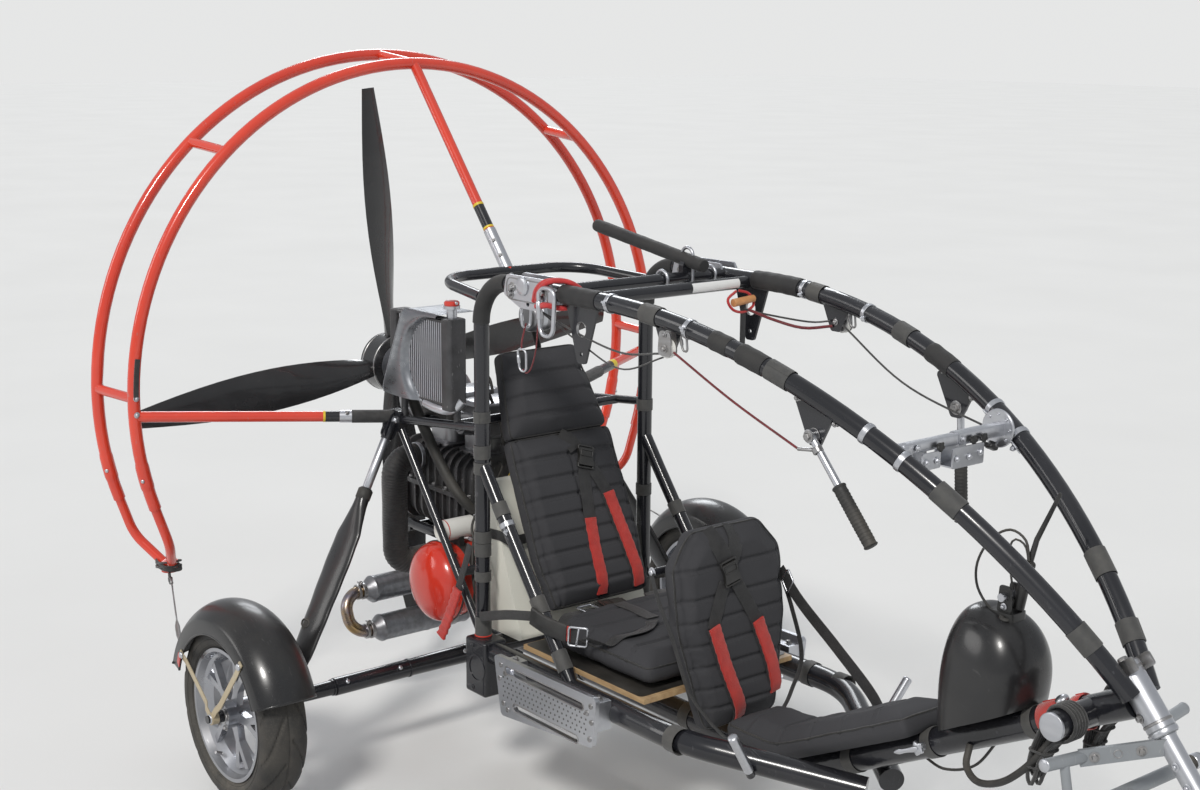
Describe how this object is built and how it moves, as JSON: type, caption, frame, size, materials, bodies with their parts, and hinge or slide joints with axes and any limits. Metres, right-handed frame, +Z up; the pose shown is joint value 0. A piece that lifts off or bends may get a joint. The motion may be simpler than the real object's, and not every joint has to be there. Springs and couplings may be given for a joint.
{
  "type": "microlight aircraft",
  "caption": "Open two-seat paraglider trike: tube frame with a caged pusher propeller, tandem seats and three road wheels, without its wing.",
  "frame": {"origin": "on the ground below the middle of the parked machine", "axes": "+X forward along the keel, +Y to the pilot's left, +Z up"},
  "size_m": [3.178, 1.788, 1.84],
  "materials": {
    "black_paint": "gloss powder coat",
    "red_paint": "gloss paint",
    "steel_grey": "worn satin",
    "alloy": "brushed",
    "cast_alloy": "sand cast",
    "carbon_black": "gloss composite",
    "gloss_black": "moulded",
    "red_plastic": "moulded",
    "tank_plastic": "translucent",
    "hose_rubber": "ribbed",
    "tyre": "road tread",
    "seat_cover": "quilted cover",
    "plywood": "varnished edge"
  },
  "bodies": {
    "airframe": {"axle_arm_left": "black_paint", "axle_arm_right": "black_paint", "boom_left": "black_paint", "boom_right": "black_paint", "cage_front_hoop": "red_paint", "cage_rear_hoop": "red_paint", "cage_spokes": "red_paint", "cross_bar": "alloy", "diagonal_left": "black_paint", "diagonal_right": "black_paint", "engine": "cast_alloy", "engine_cradle": "black_paint", "fender_left": "gloss_black", "fender_right": "gloss_black", "front_seat_back": "seat_cover", "front_seat_cushion": "seat_cover", "fuel_tank": "tank_plastic", "gear_strut_left": "black_paint", "gear_strut_right": "black_paint", "hand_lever_left": "alloy", "hand_lever_right": "alloy", "hang_hinge_left": "alloy", "hang_hinge_right": "alloy", "header_bottle": "alloy", "instrument_pod": "gloss_black", "intake_hose": "hose_rubber", "keel": "black_paint", "mast_left": "black_paint", "mast_right": "black_paint", "nose_head": "steel_grey", "radiator": "cast_alloy", "radiator_shroud": "alloy", "rear_frame_left": "black_paint", "rear_frame_right": "black_paint", "rear_seat_back": "seat_cover", "rear_seat_cushion": "seat_cover", "rescue_container": "red_plastic", "seat_back_bar": "black_paint", "seat_board": "plywood", "side_rail_left": "black_paint", "side_rail_right": "black_paint", "silencers": "steel_grey", "step_plate_left": "alloy", "step_plate_right": "alloy", "top_bow": "black_paint", "top_cross_tubes": "black_paint"},
    "propeller": {"propeller": "carbon_black"},
    "wheel_right": {"main_tyre_right": "tyre", "main_rim_right": "alloy"},
    "wheel_left": {"main_tyre_left": "tyre", "main_rim_left": "alloy"},
    "steering": {"steering_fork": "steel_grey"},
    "front_wheel": {"front_tyre": "tyre", "front_rim": "alloy"}
  },
  "joints": [
    {"name": "propeller_spin", "type": "hinge", "parent": "airframe", "child": "propeller", "pos_m": [-1.519, 0, 0.946], "axis": [1, 0, 0], "continuous": true},
    {"name": "wheel_right_roll", "type": "hinge", "parent": "airframe", "child": "wheel_right", "pos_m": [-0.989, -0.78, 0.236], "axis": [0, 1, 0], "continuous": true},
    {"name": "wheel_left_roll", "type": "hinge", "parent": "airframe", "child": "wheel_left", "pos_m": [-0.989, 0.78, 0.236], "axis": [0, 1, 0], "continuous": true},
    {"name": "steer", "type": "hinge", "parent": "airframe", "child": "steering", "pos_m": [1.02112, 0, 0.71051], "axis": [-0.6521, 0, 0.7581], "range_deg": [-30, 30]},
    {"name": "front_wheel_roll", "type": "hinge", "parent": "steering", "child": "front_wheel", "pos_m": [1.4, 0, 0.2], "axis": [0, 1, 0], "continuous": true}
  ]
}
